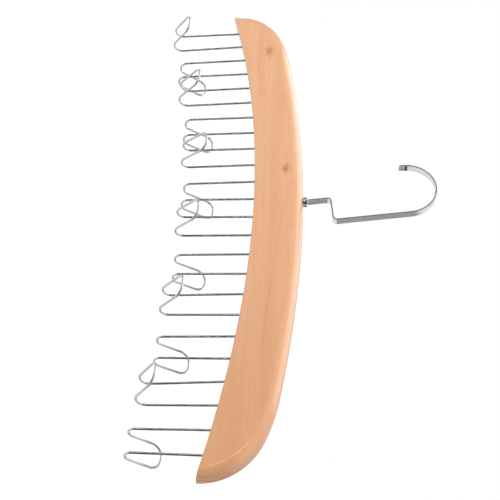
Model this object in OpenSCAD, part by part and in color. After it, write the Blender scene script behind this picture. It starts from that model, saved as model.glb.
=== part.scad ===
// Wooden tie hanger: a crescent board with twelve bent wire loops below it
// and a flat swivelling hook above it.
// The origin is the centre of the rod that the hook hangs on. +Z is up,
// +X runs along the board, and -Y is the front.

/* [Board] */
// Length of the board between its lower corners
board_length = 427; // [400:1:460]
// Height of the board at its middle
board_height = 37; // [34:0.5:42]
// Thickness of the board, whose top and ends are fully rounded
board_thickness = 17; // [15:0.5:20]
// Radius of the hollow lower edge
lower_radius = 846; // [700:1:1100]
// Radius of the top edge
top_radius = 920; // [860:1:1000]
// Angle from the board's middle to the start of each shoulder
shoulder_start = 9.8; // [9:0.1:10.5]
// Radius of the shoulder between the top edge and the rounded end
shoulder_radius = 128; // [115:1:150]
// Angle that the shoulder turns through
shoulder_turn = 13.5; // [12:0.5:16]
// Width of the bevel along the lower edges
edge_bevel = 0.8; // [0.4:0.1:1.5]

/* [Tie loops] */
// Diameter of the loop wire
wire_diameter = 2; // [1.6:0.1:2.6]
// Distance from each end of the board to its last wire leg
end_margin = 18; // [15:0.5:24]
// Distance from the lower edge down to the centre of the wire at its lowest
loop_drop = 57.6; // [40:0.1:80]
// Radius of the turn at the bottom of a loop, to the centre of the wire
turn_radius = 6.4; // [5:0.1:9]
// Angle between a loop's return prongs and the vertical
prong_flare = 40; // [20:1:50]
// Length of the return prongs, from the turn to the cross bar
prong_length = 23; // [18:0.5:30]
// Radius of the corners between the prongs and the cross bar
corner_radius = 6.5; // [4:0.1:7]
// Depth of the wire legs in the wood
leg_depth = 14; // [10:0.5:18]
// Gap between a leg and its hole, on the radius
leg_gap = 0.05; // [0.02:0.01:0.1]

/* [Flat hook] */
// Width of the hook's flat strip
strip_width = 6; // [4:0.1:8]
// Thickness of the strip
strip_thickness = 1.2; // [1:0.1:2]
// Radius on the long edges of the strip
strip_edge = 0.3; // [0.1:0.05:0.45]
// Height from the foot of the strip to the centre of its sideways step
neck_rise = 17.4; // [12:0.1:25]
// Length of the sideways step, between strip centres
jog_reach = 20.5; // [15:0.1:26]
// Inner radius of the two bends of the step
bend_radius = 2.3; // [1.5:0.1:4]
// Height from the step to the centre of the crown
shank_rise = 57.3; // [40:0.1:80]
// Inner radius of the crown that sits on the rod
crown_radius = 21.6; // [18:0.1:26]
// Angle that the crown turns through
crown_sweep = 182; // [160:1:200]
// Radius on the corners of the tip
tip_corner = 1.5; // [0.5:0.1:2]
// Backward lean of the strip from the upright swivel pin
hook_lean = 5.6; // [0:0.1:8]
// Distance of the swivel from the middle of the board
hook_offset = 4.2; // [0:0.1:6]

/* [Swivel] */
// Outer diameter of the collar
collar_diameter = 7.4; // [7:0.1:9]
// Height of the collar above the top of the board
collar_height = 3; // [2:0.1:5]
// Thickness of the collar's top lip and of the floor of the screw's cup
lip_thickness = 1.2; // [0.8:0.1:2]
// Wall thickness of the collar
collar_wall = 0.7; // [0.5:0.05:1]
// Wall thickness of the screw's cup
cup_wall = 0.5; // [0.4:0.05:0.8]
// Diameter of the swivel pin
pin_diameter = 3; // [2.4:0.1:3.4]
// Thickness of the pin's retaining head
head_thickness = 1.2; // [0.8:0.1:2]
// Gap between the pin and the lip, on the radius
pin_gap = 0.06; // [0.02:0.01:0.09]
// Gap above and below the head, and round it
head_play = 0.2; // [0.1:0.05:0.4]
// Gap between the collar and the foot of the strip
foot_gap = 0.45; // [0.3:0.05:1]
// Gap between fixed pieces that slip together, on the radius
slip_gap = 0.05; // [0.02:0.01:0.1]
// Diameter of the anchor screw
screw_diameter = 4; // [3:0.1:4.5]
// Length of the screw in the wood
screw_length = 19; // [14:0.5:20]

/* [Hidden] */
$fn = 96;

loops_per_side = 6;
leg_count = 4 * loops_per_side;
overshoot = 1;
front = -1;
back = 1;
// Lengths of one bend or edge lap by a hair, and every other one is a hair
// thinner on each face, so that they join without surfaces that just touch
lap = 0.05;
shy = 0.004;

// Hook: the strip's centre line, with its foot at zero before it leans
bend_line = bend_radius + strip_thickness / 2;
crown_line = crown_radius + strip_thickness / 2;
crown_x = jog_reach - crown_line;
crown_z = neck_rise + shank_rise;
foot_x = crown_z * sin(hook_lean) - crown_x * cos(hook_lean);
foot_z = -crown_z * cos(hook_lean) - crown_x * sin(hook_lean);
blend_height = 2.5;

// Swivel levels, from the top down
collar_top = foot_z - foot_gap;
lip_under = collar_top - lip_thickness;
head_top = lip_under - head_play;
head_bottom = head_top - head_thickness;
cup_floor = head_bottom - head_play;
seat_level = cup_floor - lip_thickness;
cup_radius = collar_diameter / 2 - collar_wall - slip_gap;
head_radius = cup_radius - cup_wall - head_play;
screw_point = 3;

// Board: its own zero is the middle of the lower edge
board_x = foot_x + hook_offset;
board_z = collar_top - collar_height - board_height;
half_length = board_length / 2;
half_thickness = board_thickness / 2;
top_run = top_radius - shoulder_radius;
// Radius of the rounded end that reaches half the length, to a round figure
shoulder_lean = sin(shoulder_start + shoulder_turn);
end_gap = half_length - top_run * sin(shoulder_start) - shoulder_radius * shoulder_lean;
end_radius = round(1000 * end_gap / (1 - shoulder_lean)) / 1000;
end_run = shoulder_radius - end_radius;

// Loops
leg_pitch = (board_length - 2 * end_margin) / (leg_count - 1);
leg_rise = loop_drop + leg_depth - turn_radius;

// Height of the lower edge at a distance from the board's middle
function lower_edge(x) = sqrt(lower_radius * lower_radius - x * x) - lower_radius;

// Distance of a leg from the board's middle, counted from the -X end
function leg_x(number) = (number - (leg_count + 1) / 2) * leg_pitch;

// Centre of a loop, counted from the -X end
function loop_x(number) = (leg_x(2 * number - 1) + leg_x(2 * number)) / 2;

// Height of the blind end of a loop's holes, less their end gap
function leg_end(number) = lower_edge(loop_x(number)) + leg_depth;

// Turns a shape about an axis along Y, from one angle to another,
// both measured from +Z towards +X
module turn_about(centre, from_angle, to_angle) {
    translate([centre[0], 0, centre[1]])
        rotate([90, 0, 0])
            rotate([0, 0, 90 - to_angle])
                rotate_extrude(angle = to_angle - from_angle, $fn = 180)
                    children();
}

// Disc about the Y axis with a fully rounded rim
module rounded_disc(radius) {
    rotate([90, 0, 0])
        rotate_extrude($fn = 180) {
            translate([0, -half_thickness])
                square([radius - half_thickness, board_thickness]);
            intersection() {
                translate([radius - half_thickness, 0])
                    circle(r = half_thickness);
                translate([0, -half_thickness])
                    square([radius, board_thickness]);
            }
        }
}

// The half space on one side of a plane through the Y and Z axes
module beside_plane(side, size) {
    translate([side > 0 ? 0 : -size, -board_thickness, -size])
        cube([size, 2 * board_thickness, 2 * size]);
}

// The outline's arcs meet in planes through their centres, where their
// rounded rims have one section, so each is drawn in the frame of a plane
module board_blank() {
    reach = 2 * top_radius;
    translate([0, 0, board_height - top_radius]) {
        intersection() {
            rotate([0, shoulder_start, 0]) {
                intersection() {
                    rounded_disc(top_radius);
                    beside_plane(-1, reach);
                }
            }
            mirror([1, 0, 0])
                rotate([0, shoulder_start, 0])
                    beside_plane(-1, reach);
        }
        for (flip = [0, 1]) mirror([flip, 0, 0])
            rotate([0, shoulder_start, 0])
                translate([0, 0, top_run])
                    board_end();
    }
}

// Shoulder and rounded end, from the plane where the top edge ends
module board_end() {
    intersection() {
        rounded_disc(shoulder_radius);
        beside_plane(1, 2 * shoulder_radius);
        rotate([0, shoulder_turn, 0])
            beside_plane(-1, 2 * shoulder_radius);
    }
    rotate([0, shoulder_turn, 0])
        translate([0, 0, end_run])
            intersection() {
                rounded_disc(end_radius);
                beside_plane(1, 2 * end_radius);
            }
}

// Everything under the hollow lower edge, flared for the bevels
module lower_cut() {
    flare = edge_bevel + overshoot;
    reach = half_thickness + overshoot;
    flat = half_thickness - edge_bevel;
    translate([0, 0, -lower_radius])
        rotate([90, 0, 0])
            rotate_extrude($fn = 180)
                polygon([
                    [0, -reach],
                    [lower_radius + flare, -reach],
                    [lower_radius, -flat],
                    [lower_radius, flat],
                    [lower_radius + flare, reach],
                    [0, reach]
                ]);
}

module leg_holes() {
    depth = leg_depth + leg_gap;
    for (number = [1 : 2 * loops_per_side])
        for (leg = [2 * number - 1, 2 * number])
            translate([leg_x(leg), 0, leg_end(number) - 2 * depth])
                cylinder(h = 2 * depth + leg_gap, r = wire_diameter / 2 + leg_gap, $fn = 48);
}

module board() {
    color("#e8b98f")
        translate([board_x, 0, board_z])
            difference() {
                board_blank();
                lower_cut();
                leg_holes();
                translate([foot_x - board_x, 0, seat_level - board_z])
                    swivel_seat();
            }
}

// Seat of the collar and bore of the screw, cut down into the board
module swivel_seat() {
    cylinder(h = board_height, d = collar_diameter + 2 * slip_gap);
    translate([0, 0, -screw_length - slip_gap])
        cylinder(h = board_height, d = screw_diameter + 2 * slip_gap);
}

// Section of the strip: thickness along X and width along Y
module strip_section(inset = 0) {
    edge = strip_edge - inset;
    flat_width = strip_width - 2 * strip_edge;
    flat_thickness = strip_thickness - 2 * strip_edge;
    square([flat_thickness + 2 * edge, flat_width], center = true);
    square([flat_thickness, flat_width + 2 * edge], center = true);
    for (x = [-1, 1], y = [-1, 1])
        translate([x * flat_thickness / 2, y * flat_width / 2])
            circle(r = edge, $fn = 32);
}

// Bend of the strip about a centre, from one angle to another
module strip_bend(centre, radius, from_angle, to_angle) {
    turn_about(centre, from_angle, to_angle)
        translate([radius, 0])
            strip_section();
}

// Plan of the tip: square across, with two rounded corners
module tip_plan() {
    half_width = strip_width / 2 - shy;
    translate([-half_width, 0])
        square([2 * half_width, overshoot]);
    translate([-half_width + tip_corner, 0])
        square([2 * (half_width - tip_corner), overshoot + tip_corner]);
    for (side = [-1, 1])
        translate([side * (half_width - tip_corner), overshoot])
            circle(r = tip_corner);
}

module strip_tip() {
    length = overshoot + tip_corner;
    translate([crown_x, 0, crown_z])
        rotate([0, -crown_sweep, 0])
            translate([crown_line, 0, -lap])
                intersection() {
                    linear_extrude(length + overshoot)
                        strip_section(shy);
                    translate([-strip_thickness, 0, 0])
                        rotate([90, 0, 90])
                            linear_extrude(2 * strip_thickness)
                                tip_plan();
                }
}

module strip() {
    linear_extrude(neck_rise - bend_line)
        strip_section();
    strip_bend([bend_line, neck_rise - bend_line], bend_line, -90, 0);
    translate([bend_line, 0, neck_rise])
        rotate([0, 90, 0])
            linear_extrude(jog_reach - 2 * bend_line)
                strip_section();
    strip_bend([jog_reach - bend_line, neck_rise + bend_line], bend_line, 90, 180);
    translate([jog_reach, 0, neck_rise + bend_line])
        linear_extrude(shank_rise - bend_line)
            strip_section();
    strip_bend([crown_x, crown_z], crown_line, 90 - crown_sweep, 90);
    strip_tip();
}

// Round pin that the strip is flattened from, with its retaining head
module swivel_pin() {
    translate([foot_x, 0, head_bottom]) {
        cylinder(h = head_thickness, r = head_radius);
        cylinder(h = foot_z - head_bottom, d = pin_diameter);
    }
    translate([foot_x, 0, foot_z])
        cylinder(h = blend_height, d1 = pin_diameter, d2 = strip_thickness);
}

module flat_hook() {
    color("#c9cbcd") {
        translate([foot_x, 0, foot_z])
            rotate([0, -hook_lean, 0])
                strip();
        swivel_pin();
    }
}

module swivel_collar() {
    bore = collar_diameter / 2 - collar_wall;
    color("#d8d6d0")
        translate([foot_x, 0, seat_level])
            difference() {
                cylinder(h = collar_top - seat_level, d = collar_diameter);
                translate([0, 0, -overshoot])
                    cylinder(h = lip_under - seat_level + overshoot, r = bore);
                cylinder(h = board_height, d = pin_diameter + 2 * pin_gap);
            }
}

module anchor_screw() {
    color("#9a9c9e")
        translate([foot_x, 0, seat_level]) {
            difference() {
                cylinder(h = lip_under - seat_level, r = cup_radius);
                translate([0, 0, cup_floor - seat_level])
                    cylinder(h = board_height, r = head_radius + head_play);
            }
            translate([0, 0, screw_point - screw_length])
                cylinder(h = screw_length - screw_point, d = screw_diameter);
            translate([0, 0, -screw_length])
                cylinder(h = screw_point, d1 = strip_thickness, d2 = screw_diameter);
        }
}

// Straight length of wire that laps into the bends at its ends
module straight_wire(length) {
    translate([0, 0, -lap])
        cylinder(h = length + 2 * lap, r = wire_diameter / 2 - shy, $fn = 48);
}

// Section of a bend of the wire, at a radius from the bend's centre
module bend_section(radius) {
    translate([radius, 0])
        circle(d = wire_diameter, $fn = 48);
}

// One leg of a loop with its turn, prong and corner, at the +X side
module half_loop() {
    prong_straight = prong_length - corner_radius;
    translate([leg_pitch / 2, 0, 0]) {
        translate([0, 0, turn_radius])
            straight_wire(leg_rise);
        translate([0, turn_radius, turn_radius])
            rotate([0, 90, 0])
                rotate([0, 0, -90])
                    rotate_extrude(angle = 180 - prong_flare)
                        bend_section(turn_radius);
        prong_frame() {
            straight_wire(prong_straight);
            turn_about([-corner_radius, prong_straight], 0, 90)
                bend_section(corner_radius);
        }
    }
}

// Places its children at the end of the turn, with +Z along the prong
module prong_frame() {
    y = turn_radius * (1 + cos(prong_flare));
    z = turn_radius * (1 - sin(prong_flare));
    translate([0, y, z])
        rotate([-prong_flare, 0, 0])
            children();
}

// A whole loop, counted from the -X end, that opens to the front or the back
module tie_loop(number, side) {
    bar = leg_pitch - 2 * corner_radius;
    color("#b9bcc0")
        translate([board_x + loop_x(number), 0, board_z + lower_edge(loop_x(number)) - loop_drop])
            mirror([0, side == front ? 1 : 0, 0]) {
                for (flip = [0, 1]) mirror([flip, 0, 0])
                    half_loop();
                prong_frame()
                    translate([-bar / 2, 0, prong_length])
                        rotate([0, 90, 0])
                            straight_wire(bar);
            }
}

module front_loop(number) {
    tie_loop(2 * number - 1, front);
}

module back_loop(number) {
    tie_loop(2 * number, back);
}

board();
flat_hook();
swivel_collar();
anchor_screw();
for (number = [1 : loops_per_side]) {
    front_loop(number);
    back_loop(number);
}
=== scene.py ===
import math
import bpy
from mathutils import Matrix, Quaternion, Vector


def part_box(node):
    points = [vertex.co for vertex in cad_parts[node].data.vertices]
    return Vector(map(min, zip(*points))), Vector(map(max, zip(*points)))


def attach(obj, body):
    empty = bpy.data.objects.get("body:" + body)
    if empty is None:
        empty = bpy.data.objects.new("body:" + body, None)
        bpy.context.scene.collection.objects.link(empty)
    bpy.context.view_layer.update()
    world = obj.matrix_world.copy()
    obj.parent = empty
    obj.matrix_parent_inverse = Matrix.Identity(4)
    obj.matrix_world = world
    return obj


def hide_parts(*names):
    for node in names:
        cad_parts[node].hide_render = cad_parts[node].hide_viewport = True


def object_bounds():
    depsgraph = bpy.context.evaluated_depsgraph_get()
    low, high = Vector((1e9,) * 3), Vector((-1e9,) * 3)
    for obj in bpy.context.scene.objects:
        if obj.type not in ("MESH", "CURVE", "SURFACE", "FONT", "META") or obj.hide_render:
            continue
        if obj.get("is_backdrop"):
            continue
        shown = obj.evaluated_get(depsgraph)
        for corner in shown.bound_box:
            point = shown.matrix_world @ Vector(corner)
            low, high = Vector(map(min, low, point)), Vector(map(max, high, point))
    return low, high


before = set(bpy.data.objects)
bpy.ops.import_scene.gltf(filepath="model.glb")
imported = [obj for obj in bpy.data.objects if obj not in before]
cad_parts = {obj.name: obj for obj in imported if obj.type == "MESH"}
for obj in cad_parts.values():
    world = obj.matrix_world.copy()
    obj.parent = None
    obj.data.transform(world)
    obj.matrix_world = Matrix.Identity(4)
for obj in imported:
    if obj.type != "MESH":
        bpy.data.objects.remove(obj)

cadLow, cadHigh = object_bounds()
mm = 0.001
hair = 0.01 * mm  # how close a vertex has to be when it is picked by its place
mergeGap = 0.002 * mm
right, back, up = Vector((1, 0, 0)), Vector((0, 1, 0)), Vector((0, 0, 1))


def deselectAll():
    if bpy.context.object and bpy.context.object.mode != 'OBJECT':
        bpy.ops.object.mode_set(mode='OBJECT')
    bpy.ops.object.select_all(action='DESELECT')


def only(obj):
    deselectAll()
    obj.select_set(True)
    bpy.context.view_layer.objects.active = obj


def startEditing(obj):
    only(obj)
    bpy.ops.object.mode_set(mode='EDIT')
    bpy.ops.mesh.select_mode(type='VERT')


def stopEditing():
    bpy.ops.object.mode_set(mode='OBJECT')


def pickAll():
    bpy.ops.mesh.select_all(action='SELECT')


def pickVerts(obj, test):
    # picks by place in object mode, and goes back to edit mode
    bpy.ops.mesh.select_mode(type='VERT')
    bpy.ops.mesh.select_all(action='DESELECT')
    stopEditing()
    for vert in obj.data.vertices:
        vert.select = bool(test(vert.co))
    bpy.ops.object.mode_set(mode='EDIT')


def pickFaces(obj, test):
    bpy.ops.mesh.select_mode(type='FACE')
    bpy.ops.mesh.select_all(action='DESELECT')
    stopEditing()
    for face in obj.data.polygons:
        face.select = bool(test(face))
    bpy.ops.object.mode_set(mode='EDIT')


def extrude(move):
    bpy.ops.mesh.extrude_region_move(TRANSFORM_OT_translate={"value": move})


def resize(factors, centre):
    bpy.ops.transform.resize(value=factors, center_override=centre)


def turnPicked(axis, degrees, centre):
    # without a window transform.rotate turns the other way
    bpy.ops.transform.rotate(value=math.radians(-degrees), orient_axis=axis, center_override=centre)


def newPiece(name):
    obj = bpy.context.object
    obj.name = name
    obj.data.name = name
    return obj


def setPlace(obj):
    # the object goes to the origin and its mesh keeps the place
    only(obj)
    bpy.ops.object.transform_apply(location=True, rotation=True, scale=True)


def linkNew(name, data):
    obj = bpy.data.objects.new(name, data)
    bpy.context.scene.collection.objects.link(obj)
    return obj


def aimAt(obj, place, target, roll=0):
    obj.location = place
    obj.rotation_mode = 'QUATERNION'
    look = (Vector(target) - Vector(place)).to_track_quat('-Z', 'Y')
    obj.rotation_quaternion = look @ Quaternion((0, 0, 1), math.radians(roll))


def applyModifier(obj, kind, **values):
    only(obj)
    mod = obj.modifiers.new(kind.title(), kind)
    for key, value in values.items():
        setattr(mod, key, value)
    bpy.ops.object.modifier_apply(modifier=mod.name)


def cleanUp(obj, smoothAngle):
    startEditing(obj)
    pickAll()
    bpy.ops.mesh.remove_doubles(threshold=mergeGap)
    bpy.ops.mesh.normals_make_consistent(inside=False)
    stopEditing()
    bpy.ops.object.shade_smooth_by_angle(angle=math.radians(smoothAngle))


class Sweep:
    # pulls the picked open section along straights and bends, as a wire is bent by hand
    ringMargin = 0.3 * mm

    def __init__(self, place, heading):
        self.place, self.heading = Vector(place), Vector(heading)

    def pull(self, length):
        move = self.heading * length
        extrude(move)
        self.place += move

    def run(self, length):
        # a ring close to each end keeps the long faces evenly shaded
        margin = min(self.ringMargin, length / 4)
        for part in (margin, length - 2 * margin, margin):
            self.pull(part)

    def bend(self, towards, radius, angle, stepAngle):
        # gives back the direction to the inside of the bend at its end
        axis = self.heading.cross(towards)
        centre = self.place + towards * radius
        steps = max(2, round(angle / stepAngle))
        # spin turns the other way about its axis, so the axis is reversed
        bpy.ops.mesh.spin(steps=steps, angle=math.radians(angle), center=centre, axis=-axis)
        turn = Matrix.Rotation(math.radians(angle), 3, axis)
        self.place = centre + turn @ (self.place - centre)
        self.heading = (turn @ self.heading).normalized()
        return (turn @ towards).normalized()


def grey(tone):
    return (tone, tone, tone, 1)


def newMaterial(name):
    mat = bpy.data.materials.new(name)
    mat.use_nodes = True
    tree = mat.node_tree
    return mat, tree, tree.nodes["Principled BSDF"]


def addNode(tree, kind, **values):
    node = tree.nodes.new(kind)
    for key, value in values.items():
        setattr(node, key, value)
    return node


def feed(tree, node, socket, value):
    target = node.inputs[socket]
    if isinstance(value, bpy.types.NodeSocket):
        tree.links.new(value, target)
    else:
        target.default_value = value


def feedAll(tree, node, values):
    for socket, value in values.items():
        feed(tree, node, socket, value)


def mathNode(tree, operation, *values):
    node = addNode(tree, "ShaderNodeMath", operation=operation)
    for index, value in enumerate(values):
        feed(tree, node, index, value)
    return node.outputs[0]


def distanceOf(tree, a, b):
    squares = [mathNode(tree, 'MULTIPLY', side, side) for side in (a, b)]
    return mathNode(tree, 'SQRT', mathNode(tree, 'ADD', *squares))


def rangeNode(tree, value, fromRange, toRange, **settings):
    node = addNode(tree, "ShaderNodeMapRange", **settings)
    feedAll(tree, node, {"Value": value, "From Min": fromRange[0], "From Max": fromRange[1],
                         "To Min": toRange[0], "To Max": toRange[1]})
    return node.outputs["Result"]


def smoothRange(tree, value, low, high, outLow=0.0, outHigh=1.0):
    return rangeNode(tree, value, (low, high), (outLow, outHigh), interpolation_type='SMOOTHSTEP')


def mixColour(tree, factor, a, b):
    node = addNode(tree, "ShaderNodeMix", data_type='RGBA')
    feedAll(tree, node, {0: factor, 6: a, 7: b})  # the colour sockets of the Mix node
    return node.outputs[2]


def objectCoords(tree, scale, location=(0, 0, 0), source=None):
    mapping = addNode(tree, "ShaderNodeMapping")
    source = source or addNode(tree, "ShaderNodeTexCoord").outputs["Object"]
    feedAll(tree, mapping, {"Vector": source, "Scale": scale, "Location": location})
    return mapping.outputs["Vector"]


def noise(tree, vector, detail=3.0, roughness=0.5, distortion=0.0):
    node = addNode(tree, "ShaderNodeTexNoise")
    feedAll(tree, node, {"Vector": vector, "Scale": 1.0, "Detail": detail,
                         "Roughness": roughness, "Distortion": distortion})
    return node.outputs["Fac"]


def bump(tree, shader, height, distance, strength):
    node = addNode(tree, "ShaderNodeBump")
    feedAll(tree, node, {"Height": height, "Distance": distance, "Strength": strength})
    tree.links.new(node.outputs["Normal"], shader.inputs["Normal"])


def mirrorRays(tree, rays):
    # the rays that metal or glass sends out to mirror the room
    return mathNode(tree, 'MAXIMUM', rays.outputs["Is Glossy Ray"], rays.outputs["Is Transmission Ray"])


woodLook = {
    "bright": (0.930, 0.540, 0.310, 1),
    "pale": (0.890, 0.480, 0.255, 1),
    "mid": (0.850, 0.425, 0.210, 1),
    "line": (0.700, 0.300, 0.120, 1),
    # deep is the flecks' own tone, and also the painted shade towards the +X end
    "deep": (0.775, 0.362, 0.175, 1),
    "knot": (0.640, 0.225, 0.055, 1),
    "specular": 0.4,
    "lacquer": 1.0,
    "lacquerRoughness": 0.05,
    "lacquerIndex": 1.5,
    "grainDepth": 0.06 * mm,
    "grainStrength": 0.6,
    "lineDepth": 0.6,
    # each pattern: repeats per metre along X, Y and Z, then the detail,
    # roughness and distortion of its noise
    "wander": ((5, 30, 30), 2.0, 0.5, 0.0),
    "bands": ((3.6, 60, 120), 3.0, 0.5, 0.4),
    "lines": ((10, 300, 480), 4.0, 0.6, 0.3),
    "pores": ((75, 800, 1150), 3.0, 0.65, 0.0),
    "flecks": ((210, 420, 560), 2.0, 0.5, 0.0),
    "ragged": ((260, 420, 620), 3.0, 0.6, 0.8),
    "fleckShift": (3.1, 1.7, 0.4),
    # where a pattern begins to show, where it shows most, then its least
    # and greatest share
    "bandMask": (0.34, 0.66, 0.0, 1.0),
    "lineMask": (0.50, 0.74, 0.0, 0.27),
    "poreMask": (0.48, 0.74, 0.0, 0.25),
    "fleckMask": (0.52, 0.70, 0.0, 0.20),
    "glintMask": (0.46, 0.32, 0.0, 0.30),
    "cloudMask": (0.30, 0.70, 0.25, 0.75),
    "roughness": (0.30, 0.80, 0.37, 0.50),
    # X where the painted shade towards the +X end begins, and where it is darkest
    "paintedEndShade": (-100 * mm, 240 * mm),
    # X, Z and radius of each knot; its parts as inner edge, outer edge (times
    # the radius) and share
    "knots": [(-150 * mm, -107.5 * mm, 4.2 * mm), (-18 * mm, -91 * mm, 3.4 * mm)],
    "knotHalo": (0.2, 1.5, 0.85),
    "knotHeart": (0.1, 0.75, 1.0),
    "knotSlim": 0.62,
    # how strongly, how far out and how slimly the grain parts round a knot
    "partPull": 0.75,
    "partReach": 4.0,
    "partSlim": 0.30,
    # first X, last X, first Z, rise and half width of each dark streak
    "streaks": [(10 * mm, 75 * mm, -91.5 * mm, -7.0 * mm, 0.6 * mm),
                (78 * mm, 150 * mm, -99.0 * mm, -5.5 * mm, 0.9 * mm)],
    "streakShare": 0.55,
    "streakWaver": 6 * mm,
    "streakFadeIn": 12 * mm,
    "streakFadeOut": 20 * mm,
}


def woodPattern(tree, name, location=(0, 0, 0), source=None):
    density, detail, roughness, distortion = woodLook[name]
    return noise(tree, objectCoords(tree, density, location, source), detail, roughness, distortion)


def knotOffsets(tree, x, z, knotX, knotZ, slim):
    # offsets from a knot's middle; slimmer means longer along X
    dx, dz = mathNode(tree, 'SUBTRACT', x, knotX), mathNode(tree, 'SUBTRACT', z, knotZ)
    return distanceOf(tree, mathNode(tree, 'MULTIPLY', dx, slim), dz), dz


def partGrain(tree, x, y, z):
    flow = z
    for knotX, knotZ, radius in woodLook["knots"]:
        distance, dz = knotOffsets(tree, x, z, knotX, knotZ, woodLook["partSlim"])
        near = smoothRange(tree, distance, 0.0, radius * woodLook["partReach"], -woodLook["partPull"], 0.0)
        flow = mathNode(tree, 'ADD', flow, mathNode(tree, 'MULTIPLY', dz, near))
    parted = addNode(tree, "ShaderNodeCombineXYZ")
    feedAll(tree, parted, {"X": x, "Y": y, "Z": flow})
    return parted.outputs[0]


def addStreaks(tree, colour, x, z, wander):
    for startX, endX, startZ, rise, halfWidth in woodLook["streaks"]:
        middleZ = rangeNode(tree, x, (startX, endX), (startZ, startZ + rise), clamp=False)
        waver = mathNode(tree, 'MULTIPLY_ADD', wander, woodLook["streakWaver"], -woodLook["streakWaver"] / 2)
        offset = mathNode(tree, 'SUBTRACT', mathNode(tree, 'ADD', z, waver), middleZ)
        across = smoothRange(tree, mathNode(tree, 'ABSOLUTE', offset), 0.0, halfWidth,
                             woodLook["streakShare"], 0.0)
        fadeIn = smoothRange(tree, x, startX, startX + woodLook["streakFadeIn"])
        fadeOut = smoothRange(tree, x, endX - woodLook["streakFadeOut"], endX, 1.0, 0.0)
        share = mathNode(tree, 'MULTIPLY', across, mathNode(tree, 'MULTIPLY', fadeIn, fadeOut))
        colour = mixColour(tree, share, colour, woodLook["line"])
    return colour


def addKnots(tree, colour, x, z):
    ragged = woodPattern(tree, "ragged")
    for knotX, knotZ, radius in woodLook["knots"]:
        distance = knotOffsets(tree, x, z, knotX, knotZ, woodLook["knotSlim"])[0]
        tear = mathNode(tree, 'MULTIPLY_ADD', ragged, radius * 2, -radius)
        torn = mathNode(tree, 'ADD', distance, tear)
        for part, tone in (("knotHalo", "line"), ("knotHeart", "knot")):
            inner, outer, share = woodLook[part]
            mask = smoothRange(tree, torn, radius * inner, radius * outer, share, 0.0)
            colour = mixColour(tree, mask, colour, woodLook[tone])
    return colour


def makeWood():
    mat, tree, shader = newMaterial("lacqueredWood")
    split = addNode(tree, "ShaderNodeSeparateXYZ")
    tree.links.new(objectCoords(tree, (1, 1, 1)), split.inputs[0])
    x, y, z = split.outputs["X"], split.outputs["Y"], split.outputs["Z"]
    grain = partGrain(tree, x, y, z)

    # growth bands, long along the board, with finer lines, pores and flecks
    wander = woodPattern(tree, "wander")
    bands = woodPattern(tree, "bands", source=grain)
    lines = woodPattern(tree, "lines", source=grain)
    pores = woodPattern(tree, "pores", source=grain)
    flecks = woodPattern(tree, "flecks", woodLook["fleckShift"])

    bandMask = smoothRange(tree, bands, *woodLook["bandMask"])
    lineMask = smoothRange(tree, lines, *woodLook["lineMask"])
    poreMask = smoothRange(tree, pores, *woodLook["poreMask"])
    fleckMask = smoothRange(tree, flecks, *woodLook["fleckMask"])
    glintMask = smoothRange(tree, flecks, *woodLook["glintMask"])
    colour = mixColour(tree, bandMask, woodLook["mid"], woodLook["pale"])
    for mask, tone in ((lineMask, "line"), (poreMask, "line"), (fleckMask, "deep"), (glintMask, "bright")):
        colour = mixColour(tree, mask, colour, woodLook[tone])

    # painted shade: the wood is darker towards the +X end, where less light falls, in random clouds
    clouds = smoothRange(tree, wander, *woodLook["cloudMask"])
    paintedEndShade = smoothRange(tree, x, *woodLook["paintedEndShade"])
    colour = mixColour(tree, mathNode(tree, 'MULTIPLY', paintedEndShade, clouds), colour, woodLook["deep"])
    colour = addStreaks(tree, colour, x, z, wander)
    colour = addKnots(tree, colour, x, z)

    # pores and lines are a little below the surface
    lineHeight = mathNode(tree, 'MULTIPLY', lineMask, -woodLook["lineDepth"])
    height = mathNode(tree, 'SUBTRACT', lineHeight, poreMask)
    bump(tree, shader, height, woodLook["grainDepth"], woodLook["grainStrength"])
    feedAll(tree, shader, {
        "Base Color": colour,
        "Roughness": smoothRange(tree, lines, *woodLook["roughness"]),
        "Specular IOR Level": woodLook["specular"],
        "Coat Weight": woodLook["lacquer"],
        "Coat Roughness": woodLook["lacquerRoughness"],
        "Coat IOR": woodLook["lacquerIndex"],
    })
    return mat


# tone, least roughness and how far it spreads, depth of the drawing lines
# and how dense they are along X, Y and Z
metalLooks = {
    "loopChrome": {"tone": (0.60, 0.605, 0.615), "rough": 0.09, "spread": 0.06,
                   "depth": 0.0015 * mm, "drawing": (900, 900, 60)},
    "hookSteel": {"tone": (0.74, 0.745, 0.75), "rough": 0.07, "spread": 0.04,
                  "depth": 0.001 * mm, "drawing": (700, 2600, 90)},
    "hookEdge": {"tone": (0.33, 0.33, 0.335), "rough": 0.26, "spread": 0.08,
                 "depth": 0.001 * mm, "drawing": (700, 2600, 90)},
    "collarMetal": {"tone": (0.66, 0.63, 0.60), "rough": 0.07, "spread": 0.05,
                    "depth": 0.005 * mm, "drawing": (300, 300, 4200)},
    "screwSteel": {"tone": (0.42, 0.42, 0.43), "rough": 0.36, "spread": 0.14,
                   "depth": 0.02 * mm, "drawing": (500, 500, 2200)},
}
metalWear = {
    "blotches": 140,
    "dulling": 0.86,
    "bumpStrength": 0.5,
    # where blotches and drawing lines begin to show and show most, and how much
    # duller and rougher they are there
    "blotchDull": (0.42, 0.72, 0.0, 0.6),
    "drawnDull": (0.55, 0.85, 0.0, 0.35),
    "blotchRough": (0.30, 0.75),
    "drawnRough": (0.50, 0.85),
}


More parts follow.
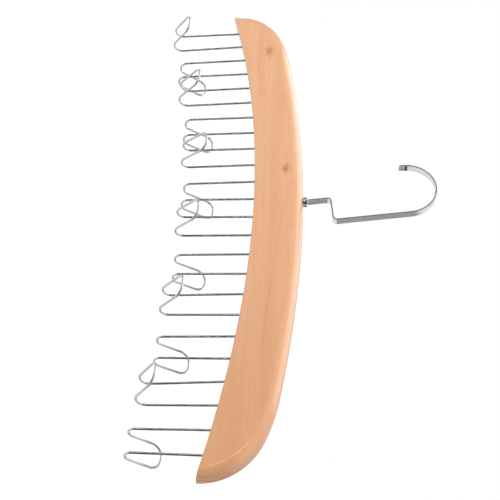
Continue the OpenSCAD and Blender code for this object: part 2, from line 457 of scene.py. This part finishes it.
def makeMetal(name):
    look, wear = metalLooks[name], metalWear
    mat, tree, shader = newMaterial(name)
    blotch = noise(tree, objectCoords(tree, (wear["blotches"],) * 3), 3.0, 0.55)
    drawn = noise(tree, objectCoords(tree, look["drawing"]), 4.0, 0.6)
    clear = (*look["tone"], 1)
    dull = (*(channel * wear["dulling"] for channel in look["tone"]), 1)
    colour = mixColour(tree, smoothRange(tree, blotch, *wear["blotchDull"]), clear, dull)
    colour = mixColour(tree, smoothRange(tree, drawn, *wear["drawnDull"]), colour, dull)
    least, most = look["rough"], look["rough"] + look["spread"]
    blotchRough = smoothRange(tree, blotch, *wear["blotchRough"], least, most)
    drawnRough = smoothRange(tree, drawn, *wear["drawnRough"], 0.0, look["spread"] / 2)
    bump(tree, shader, drawn, look["depth"], wear["bumpStrength"])
    feedAll(tree, shader, {
        "Base Color": colour,
        "Roughness": mathNode(tree, 'ADD', blotchRough, drawnRough),
        "Metallic": 1.0,
    })
    return mat


wood = makeWood()
metals = {name: makeMetal(name) for name in metalLooks}
print("materials made")


def paint(obj, mat):
    obj.data.materials.clear()
    obj.data.materials.append(mat)
    for face in obj.data.polygons:
        face.material_index = 0


def paintEdges(obj, mat):
    # the strip's two narrow sides are cut edges, duller than its faces
    obj.data.materials.append(mat)
    for face in obj.data.polygons:
        if abs(face.normal.y) > 0.5:
            face.material_index = 1


def dress(piece, mat, body, node):
    paint(piece, mat)
    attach(piece, body)
    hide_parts(node)


boardLow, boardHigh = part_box("board")
screwLow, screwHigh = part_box("anchor_screw")
collarLow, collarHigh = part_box("swivel_collar")
collarX = (collarLow.x + collarHigh.x) / 2

# lengths in metres, turns and steps in degrees
boardShape = {
    "middle": (boardLow.x + boardHigh.x) / 2,
    "halfLength": 213.5 * mm,
    "height": 37 * mm,
    "thickness": 17 * mm,
    "crownRadius": 920 * mm,
    "crownTurn": 9.8,
    "crownStep": 0.7,
    "shoulderRadius": 128 * mm,
    "shoulderTurn": 13.5,
    "shoulderStep": 1.35,
    "endTurn": 70.0,
    "endStep": 2.5,
    "rimSteps": 36,  # round the half-round crown
    "sideRing": 0.35 * mm,  # keeps the flat sides evenly shaded
    "lowerRadius": 846 * mm,
    "lowerSteps": 1080,
    "edgeBevel": 0.8 * mm,
    "cutSpare": 1 * mm,
    "cutLength": 30 * mm,
    "legHoleSides": 24,
    "collarHole": 3.72 * mm,
    "collarHoleSides": 64,
    "screwHole": 2.05 * mm,
    "screwHoleSides": 32,
    "smoothAngle": 30,
}
boardShape["zero"] = boardHigh.z - boardShape["height"]


def lowerEdge(x):
    # height of the board's hollow lower edge, x counted from its middle
    radius = boardShape["lowerRadius"]
    return boardShape["zero"] + math.sqrt(radius * radius - x * x) - radius


def makeBoard():
    shape = boardShape
    middle, top, half = shape["middle"], boardHigh.z, shape["thickness"] / 2
    rim = top - half
    # the section at the middle: a half circle over two straight sides
    bpy.ops.mesh.primitive_circle_add(
        vertices=shape["rimSteps"] * 2, radius=half, fill_type='NOTHING',
        location=(middle, 0, rim), rotation=(0, math.pi / 2, 0))
    piece = newPiece("crescentBoard")
    setPlace(piece)
    startEditing(piece)
    pickVerts(piece, lambda co: co.z < rim - hair)
    bpy.ops.mesh.delete(type='VERT')
    level = rim
    for drop in (shape["sideRing"], shape["height"]):
        pickVerts(piece, lambda co: co.z < level + hair)
        extrude((0, 0, -drop))
        level -= drop
    bpy.ops.mesh.edge_face_add()
    pickAll()

    # swept from the middle to one end by three arcs that touch
    sweep = Sweep((middle, 0, top), right)
    inward = sweep.bend(-up, shape["crownRadius"], shape["crownTurn"], shape["crownStep"])
    inward = sweep.bend(inward, shape["shoulderRadius"], shape["shoulderTurn"], shape["shoulderStep"])
    lean = math.sin(math.radians(shape["crownTurn"] + shape["shoulderTurn"]))
    endRadius = (middle + shape["halfLength"] - sweep.place.x) / (1 - lean)
    sweep.bend(inward, endRadius, shape["endTurn"], shape["endStep"])
    bpy.ops.mesh.edge_face_add()
    stopEditing()

    pivot = linkNew("boardMiddle", None)
    pivot.location = (middle, 0, 0)
    applyModifier(piece, 'MIRROR', mirror_object=pivot, use_mirror_merge=True, merge_threshold=hair)
    bpy.data.objects.remove(pivot)
    cleanUp(piece, shape["smoothAngle"])
    for cutter in (makeLowerCutter(), makeHoleCutter()):
        applyModifier(piece, 'BOOLEAN', operation='DIFFERENCE', solver='EXACT', object=cutter)
        bpy.data.objects.remove(cutter)
    cleanUp(piece, shape["smoothAngle"])
    return piece


def makeLowerCutter():
    radius, bevel, spare = boardShape["lowerRadius"], boardShape["edgeBevel"], boardShape["cutSpare"]
    centre = (boardShape["middle"], 0, boardShape["zero"] - radius)
    bpy.ops.mesh.primitive_cylinder_add(
        vertices=boardShape["lowerSteps"], radius=radius, depth=boardShape["thickness"] - 2 * bevel,
        location=centre, rotation=(math.pi / 2, 0, 0))
    cutter = newPiece("lowerCutter")
    setPlace(cutter)
    startEditing(cutter)
    grow = (radius + bevel + spare) / radius
    for side in (-1, 1):
        # each cap flares outwards, which bevels the board's lower edge
        pickFaces(cutter, lambda face: face.normal.y * side > 0.9)
        extrude((0, side * (bevel + spare), 0))
        resize((grow, 1, grow), centre)
    stopEditing()
    return cutter


def addHole(x, low, radius, sides):
    length = boardShape["cutLength"]
    bpy.ops.mesh.primitive_cylinder_add(
        vertices=sides, radius=radius, depth=length, location=(x, 0, low + length / 2))
    return bpy.context.object


def makeHoleCutter():
    shape, play = boardShape, loopShape["play"]
    holes = []
    for number in range(loopShape["loops"]):
        middle = loopMiddle(number)
        low = lowerEdge(middle) + loopShape["depth"] + play - shape["cutLength"]
        for side in (-1, 1):
            x = shape["middle"] + middle + side * loopShape["pitch"] / 2
            holes.append(addHole(x, low, loopShape["wire"] / 2 + play, shape["legHoleSides"]))
    holes.append(addHole(collarX, collarLow.z, shape["collarHole"], shape["collarHoleSides"]))
    holes.append(addHole(collarX, screwLow.z, shape["screwHole"], shape["screwHoleSides"]))
    deselectAll()
    for hole in holes:
        hole.select_set(True)
    bpy.context.view_layer.objects.active = holes[0]
    bpy.ops.object.join()
    cutter = newPiece("holeCutter")
    setPlace(cutter)
    return cutter


loopShape = {
    "loops": 12,
    "endMargin": 18 * mm,
    "wire": 2.0 * mm,
    "sides": 20,
    "bendStep": 8,
    "bendRing": 1 * mm,  # how far over a bend the legs have a ring
    "depth": 14 * mm,
    "play": 0.05 * mm,
    "drop": 57.6 * mm,
    "smoothAngle": 40,
    # the loops differ, as in the photo, and a scratch program fitted these values to
    # it: turn radius, flare, prong length, corner radius, then lean, extra drop and
    # twist, in millimetres and degrees
    "bends": [
        (6.69, 45.7, 21.12, 6.46, 0.74, -0.13, 4.35),  # front 1
        (6.43, 39.1, 22.41, 6.81, 0.67, 1.77, -1.15),  # back 1
        (6.92, 40.2, 22.57, 6.11, 1.05, 1.43, -0.11),  # front 2
        (6.33, 36.6, 22.61, 6.71, 0.00, 0.95, -0.59),  # back 2
        (5.95, 33.3, 23.22, 6.58, 0.32, 0.24, 2.22),  # front 3
        (6.36, 35.0, 22.92, 6.71, -0.14, 0.29, -4.39),  # back 3
        (6.08, 40.3, 22.26, 6.79, -1.35, -0.01, 1.31),  # front 4
        (6.04, 35.8, 22.75, 7.45, -0.98, -0.85, -1.98),  # back 4
        (6.07, 43.3, 22.20, 5.96, -0.24, 0.19, -5.12),  # front 5
        (5.54, 37.3, 23.42, 7.16, -1.10, -1.63, -4.32),  # back 5
        (6.45, 48.0, 21.19, 6.71, 1.52, -0.63, -10.37),  # front 6
        (5.27, 37.9, 23.06, 7.33, -3.20, -3.25, -7.67),  # back 6
    ],
}
# the legs stand in one row, at equal distances
loopShape["pitch"] = 2 * (boardShape["halfLength"] - loopShape["endMargin"]) / (2 * loopShape["loops"] - 1)


def loopMiddle(number):
    # X of a loop's middle, counted from the board's
    return (2 * number + 1 - loopShape["loops"]) * loopShape["pitch"]


def makeLoop(number, name, outward):
    # outward is the side of the board on which the prongs stand
    shape = loopShape
    pitch, depth, ring, step = shape["pitch"], shape["depth"], shape["bendRing"], shape["bendStep"]
    turn, flare, prong, corner, lean, extraDrop, twist = shape["bends"][number]
    turn, prong, corner = turn * mm, prong * mm, corner * mm
    x = boardShape["middle"] + loopMiddle(number)
    exitZ = lowerEdge(loopMiddle(number))
    legLength = shape["drop"] + extraDrop * mm - turn
    across = outward.cross(up)
    start = Vector((x, 0, exitZ + depth)) - across * pitch / 2
    bpy.ops.mesh.primitive_circle_add(
        vertices=shape["sides"], radius=shape["wire"] / 2, fill_type='NOTHING', location=start)
    piece = newPiece(name)
    setPlace(piece)
    startEditing(piece)
    pickAll()
    sweep = Sweep(start, -up)
    sweep.run(depth)
    sweep.pull(legLength - ring)
    sweep.pull(ring)
    inside = sweep.bend(outward, turn, 180 - flare, step)
    sweep.run(prong - corner)
    down = -sweep.heading
    sweep.bend(across, corner, 90, step)
    sweep.run(pitch - 2 * corner)
    sweep.bend(down, corner, 90, step)
    sweep.run(prong - corner)
    sweep.bend(inside, turn, 180 - flare, step)
    sweep.pull(ring)
    sweep.pull(legLength - ring)
    sweep.run(depth)
    pickAll()
    bpy.ops.mesh.fill_holes(sides=0)
    # the prongs twist a little, and all below the board leans a little
    bendTop = exitZ - legLength + ring
    pickVerts(piece, lambda co: co.z < bendTop + hair or abs(co.y) > shape["wire"])
    turnPicked('Z', twist, (x, 0, exitZ))
    pickVerts(piece, lambda co: co.z < exitZ - hair)
    turnPicked('X', lean, (x, 0, exitZ))
    stopEditing()
    cleanUp(piece, shape["smoothAngle"])
    return piece


hookShape = {
    "width": 6.0 * mm,
    "thick": 1.2 * mm,
    "edge": 0.3 * mm,
    "edgeSteps": 4,
    "lean": 5.6,
    "neck": 17.4 * mm,
    "jog": 20.5 * mm,
    "bend": 2.9 * mm,
    "bendStep": 9,
    "shank": 57.3 * mm,
    "crown": 22.2 * mm,
    "crownTurn": 182,
    "crownStep": 3.5,
    "tip": 1.5 * mm,
    "tipSteps": 6,
    "smoothAngle": 35,
}


def makeHook():
    shape = hookShape
    bend, step = shape["bend"], shape["bendStep"]
    lean = math.radians(-shape["lean"])
    rise, side = Matrix.Rotation(lean, 3, 'Y') @ up, Matrix.Rotation(lean, 3, 'Y') @ right
    # the crown's centre is the frame's origin
    foot = side * (shape["crown"] - shape["jog"]) - rise * (shape["neck"] + shape["shank"])
    bpy.ops.mesh.primitive_plane_add(size=1, location=foot, rotation=(0, lean, 0))
    strip = newPiece("flatHook")
    strip.scale = (shape["thick"], shape["width"], 1)
    setPlace(strip)
    startEditing(strip)
    pickAll()
    bpy.ops.mesh.bevel(offset=shape["edge"], segments=shape["edgeSteps"], affect='VERTICES')
    pickAll()
    bpy.ops.mesh.delete(type='ONLY_FACE')
    pickAll()
    sweep = Sweep(foot, rise)
    sweep.run(shape["neck"] - bend)
    sweep.bend(side, bend, 90, step)
    sweep.run(shape["jog"] - 2 * bend)
    sweep.bend(rise, bend, 90, step)
    sweep.run(shape["shank"] - bend)
    sweep.bend(-side, shape["crown"], shape["crownTurn"], shape["crownStep"])
    # the tip narrows along a quarter circle, which rounds its two corners
    reach, half = 0, shape["width"] / 2
    for index in range(shape["tipSteps"]):
        angle = math.pi / 2 * (index + 1) / shape["tipSteps"]
        nextReach = shape["tip"] * math.sin(angle)
        nextHalf = shape["width"] / 2 - shape["tip"] * (1 - math.cos(angle))
        sweep.pull(nextReach - reach)
        resize((1, nextHalf / half, 1), sweep.place)
        reach, half = nextReach, nextHalf
    pickAll()
    bpy.ops.mesh.fill_holes(sides=0)
    stopEditing()
    cleanUp(strip, shape["smoothAngle"])
    return strip, foot


pinShape = {
    "radius": 1.5 * mm,
    "headRadius": 2.2 * mm,
    "headHeight": 1.2 * mm,
    "sides": 48,
    # its end narrows to sit inside the strip's foot
    "endRise": 0.5 * mm,
    "endTaper": (0.3, 0.9, 1),
    "smoothAngle": 40,
}


def makePin(foot):
    # the round pin under the strip, with the head that holds it in the collar
    shape = pinShape
    low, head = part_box("flat_hook")[0].z, shape["headHeight"]
    bpy.ops.mesh.primitive_cylinder_add(
        vertices=shape["sides"], radius=shape["headRadius"], depth=head, location=(foot.x, 0, low + head / 2))
    pin = newPiece("swivelPin")
    setPlace(pin)
    startEditing(pin)
    pickFaces(pin, lambda face: face.normal.z > 0.9)
    bpy.ops.mesh.inset(thickness=shape["headRadius"] - shape["radius"])
    extrude((0, 0, foot.z - low - head))
    extrude((0, 0, shape["endRise"]))
    resize(shape["endTaper"], (foot.x, 0, low))
    stopEditing()
    cleanUp(pin, shape["smoothAngle"])
    return pin


collarShape = {
    "radius": 3.7 * mm,
    "bore": 1.56 * mm,
    "boreEdge": 0.12 * mm,
    "wall": 0.7 * mm,
    "lip": 1.2 * mm,
    "edge": 0.16 * mm,
    "seatRise": 0.25 * mm,  # from the crown's top to where the collar leaves the wood
    "groove": 0.22 * mm,
    "grooveSlope": 0.08 * mm,
    "rimRound": 0.3,  # how far the rounded rim stays off its corner, times the edge
    "sides": 96,
    "smoothAngle": 35,
}


def makeCollar():
    shape = collarShape
    radius, bore, edge, boreEdge = shape["radius"], shape["bore"], shape["edge"], shape["boreEdge"]
    groove, slope, rim = shape["groove"], shape["grooveSlope"], shape["rimRound"] * edge
    low, high = collarLow.z, collarHigh.z
    seat, lipFoot, cup = boardHigh.z + shape["seatRise"], high - shape["lip"], radius - shape["wall"]
    # rings as radius and height: up the outside, over the lip and down the bore;
    # a narrow groove marks where the collar leaves the wood
    rings = [
        (radius - edge, low), (radius, low + edge),
        (radius, seat - groove - slope), (radius - groove, seat - groove),
        (radius - groove, seat + slope), (radius, seat + 2 * slope),
        (radius, high - edge), (radius - rim, high - rim), (radius - edge, high),
        (bore + boreEdge, high), (bore, high - boreEdge),
        (bore, lipFoot), (cup, lipFoot), (cup, low),
    ]
    bpy.ops.mesh.primitive_circle_add(
        vertices=shape["sides"], radius=rings[0][0], fill_type='NOTHING', location=(collarX, 0, low))
    piece = newPiece("swivelCollar")
    setPlace(piece)
    startEditing(piece)
    pickAll()
    for (ringBefore, levelBefore), (ring, level) in zip(rings, rings[1:]):
        extrude((0, 0, level - levelBefore))
        resize((ring / ringBefore, ring / ringBefore, 1), (collarX, 0, level))
    pickVerts(piece, lambda co: co.z < low + hair)
    bpy.ops.mesh.bridge_edge_loops()
    stopEditing()
    cleanUp(piece, shape["smoothAngle"])
    return piece


crescent = makeBoard()
dress(crescent, wood, "hanger_bar", "board")
print("board made:", len(crescent.data.polygons), "faces")

for number in range(loopShape["loops"]):
    # the loops open to the front and to the back in turns
    side, outward = (("front", -back), ("back", back))[number % 2]
    place = number // 2 + 1
    wire = makeLoop(number, f"{side}Wire{place}", outward)
    dress(wire, metals["loopChrome"], "hanger_bar", f"{side}_loop_{place}")
print("wire loops made")

hookStrip, hookFoot = makeHook()
swivelPin = makePin(hookFoot)
for part in (hookStrip, swivelPin):
    dress(part, metals["hookSteel"], "hook", "flat_hook")
paintEdges(hookStrip, metals["hookEdge"])
print("hook made, foot at", tuple(round(value / mm, 3) for value in hookFoot))

dress(makeCollar(), metals["collarMetal"], "hanger_bar", "swivel_collar")
paint(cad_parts["anchor_screw"], metals["screwSteel"])
print("collar made, screw painted")


stageLook = {
    "floorDrop": 0.16,
    "floorSize": 30.0,
    "floorTones": (grey(0.55), grey(0.50)),
    "floorGrain": 400,
    "grainMask": (0.4, 0.7, 0.0, 0.05),
    "floorGlow": 0.75,
    "floorRoughness": 0.9,
    "worldLight": 0.50,
    "aim": (boardShape["middle"], 0, -0.11),
    # name, place in metres, side in metres and power in watts
    "softBoxes": [
        ("topBox", (-0.25, -0.30, 1.0), 0.8, 4.5),
        ("frontBox", (-0.5, -1.3, 0.15), 1.0, 9.0),
        ("sideBox", (1.3, -0.5, 0.1), 0.9, 1.0),
        ("lowBounce", (-0.1, -0.7, -0.9), 0.8, 2.0),
        ("backBox", (-0.2, 1.2, 0.5), 1.0, 4.0),
    ],
    # name, place, width, height and brightness of the boxes seen only as highlights
    "sheens": [
        ("topSheen", (-0.60, 0.05, 0.85), 1.2, 1.4, 1.6),
        ("stripSheen", (0.06, -1.45, -0.12), 0.06, 0.9, 9.0),
    ],
}


def makeFloor():
    bpy.ops.mesh.primitive_plane_add(
        size=stageLook["floorSize"], location=(boardShape["middle"], 0, cadLow.z - stageLook["floorDrop"]))
    floor = newPiece("studioFloor")
    mat, tree, shader = newMaterial("floorPaper")
    grain = noise(tree, objectCoords(tree, (stageLook["floorGrain"],) * 3), 2.0)
    colour = mixColour(tree, smoothRange(tree, grain, *stageLook["grainMask"]), *stageLook["floorTones"])
    feedAll(tree, shader, {"Base Color": colour, "Roughness": stageLook["floorRoughness"]})
    # the glow that the camera sees makes it white, and it keeps the shadow
    rays = addNode(tree, "ShaderNodeLightPath")
    seen = mathNode(tree, 'MAXIMUM', rays.outputs["Is Camera Ray"], mirrorRays(tree, rays))
    glow = addNode(tree, "ShaderNodeEmission")
    feed(tree, glow, "Strength", mathNode(tree, 'MULTIPLY', seen, stageLook["floorGlow"]))
    both = addNode(tree, "ShaderNodeAddShader")
    feedAll(tree, both, {0: shader.outputs[0], 1: glow.outputs[0]})
    tree.links.new(both.outputs[0], tree.nodes["Material Output"].inputs["Surface"])
    floor.data.materials.append(mat)
    # metal mirrors the room of the world instead
    floor.visible_glossy = False
    floor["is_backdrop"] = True


# what metal sees of the room; heights are those of the direction seen
roomLook = {
    "darkSide": (0.563, -0.826, 0.0),
    # from opposite the dark side (0) round to it (1), and the wall's tone there
    "walls": [(0.00, 0.95), (0.10, 0.85), (0.20, 0.44), (0.40, 0.40),
              (0.47, 0.74), (0.70, 0.80), (0.79, 0.10), (1.00, 0.08)],
    "white": (0.30, 0.62),
    "frontTurn": (-0.15, 0.15),
    "line": (0.078, 0.060),
    "lineTone": grey(0.03),
    "tableEdge": -0.02,
    "frontDrop": -0.48,
    "tableFade": (0.01, -0.04),
    "tableTone": grey(0.95),
}


def makeRoom(tree):
    look = roomLook
    coords = addNode(tree, "ShaderNodeTexCoord").outputs["Generated"]
    split = addNode(tree, "ShaderNodeSeparateXYZ")
    tree.links.new(coords, split.inputs[0])
    height = split.outputs["Z"]
    facing = addNode(tree, "ShaderNodeVectorMath", operation='DOT_PRODUCT')
    feedAll(tree, facing, {0: coords, 1: look["darkSide"]})
    level = facing.outputs["Value"]
    walls = addNode(tree, "ShaderNodeValToRGB")
    feed(tree, walls, "Fac", mathNode(tree, 'MULTIPLY_ADD', level, 0.5, 0.5))
    while len(walls.color_ramp.elements) < len(look["walls"]):
        walls.color_ramp.elements.new(0.5)
    for element, (place, tone) in zip(walls.color_ramp.elements, look["walls"]):
        element.position = place
        element.color = grey(tone)
    above = smoothRange(tree, height, *look["white"])
    room = mixColour(tree, above, walls.outputs["Color"], grey(1))
    # behind the object the white table ends at a thin dark line
    front = smoothRange(tree, level, *look["frontTurn"])
    behind = mathNode(tree, 'SUBTRACT', 1.0, front)
    line = mathNode(tree, 'MULTIPLY', smoothRange(tree, height, *look["line"]), behind)
    room = mixColour(tree, line, room, look["lineTone"])
    edge = mathNode(tree, 'MULTIPLY_ADD', front, look["frontDrop"], look["tableEdge"])
    table = smoothRange(tree, mathNode(tree, 'SUBTRACT', height, edge), *look["tableFade"])
    return mixColour(tree, table, room, look["tableTone"])


def makeWorld():
    world = bpy.data.worlds.new("studioWorld")
    bpy.context.scene.world = world
    world.use_nodes = True
    tree = world.node_tree
    rays = addNode(tree, "ShaderNodeLightPath")
    colour = mixColour(tree, mirrorRays(tree, rays), grey(stageLook["worldLight"]), makeRoom(tree))
    colour = mixColour(tree, rays.outputs["Is Camera Ray"], colour, grey(1))
    feedAll(tree, tree.nodes["Background"], {"Color": colour, "Strength": 1.0})


def addLamp(name, place, width, height, power):
    data = bpy.data.lights.new(name, 'AREA')
    data.energy = power
    data.shape = 'RECTANGLE'
    data.size, data.size_y = width, height
    lamp = linkNew(name, data)
    aimAt(lamp, place, stageLook["aim"])
    return lamp


def addLamps():
    for name, place, size, power in stageLook["softBoxes"]:
        addLamp(name, place, size, size, power).visible_glossy = False
    for name, place, width, height, brightness in stageLook["sheens"]:
        power = brightness * math.pi * width * height
        addLamp(name, place, width, height, power).visible_diffuse = False


cameraView = {
    "place": Vector((393.36, -500.82, -51.43)) * mm,
    "target": Vector((51.91, 0, -116.39)) * mm,
    "lens": 59.66,
    "sensor": 36,
    "roll": 89.0,
    "nearest": 0.01,
    "farthest": 50,
}


def makeCamera():
    data = bpy.data.cameras.new("photoCamera")
    data.lens = cameraView["lens"]
    data.sensor_width = cameraView["sensor"]
    data.clip_start, data.clip_end = cameraView["nearest"], cameraView["farthest"]
    camera = linkNew("photoCamera", data)
    aimAt(camera, cameraView["place"], cameraView["target"], cameraView["roll"])
    bpy.context.scene.camera = camera


makeFloor()
makeWorld()
addLamps()
makeCamera()
bpy.context.scene.view_settings.view_transform = 'Standard'
print("stage, lamps and camera set")

seenLow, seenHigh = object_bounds()
difference = (*(seenLow - cadLow), *(seenHigh - cadHigh))
print("visual box less CAD box in mm:", [round(value / mm, 2) for value in difference])
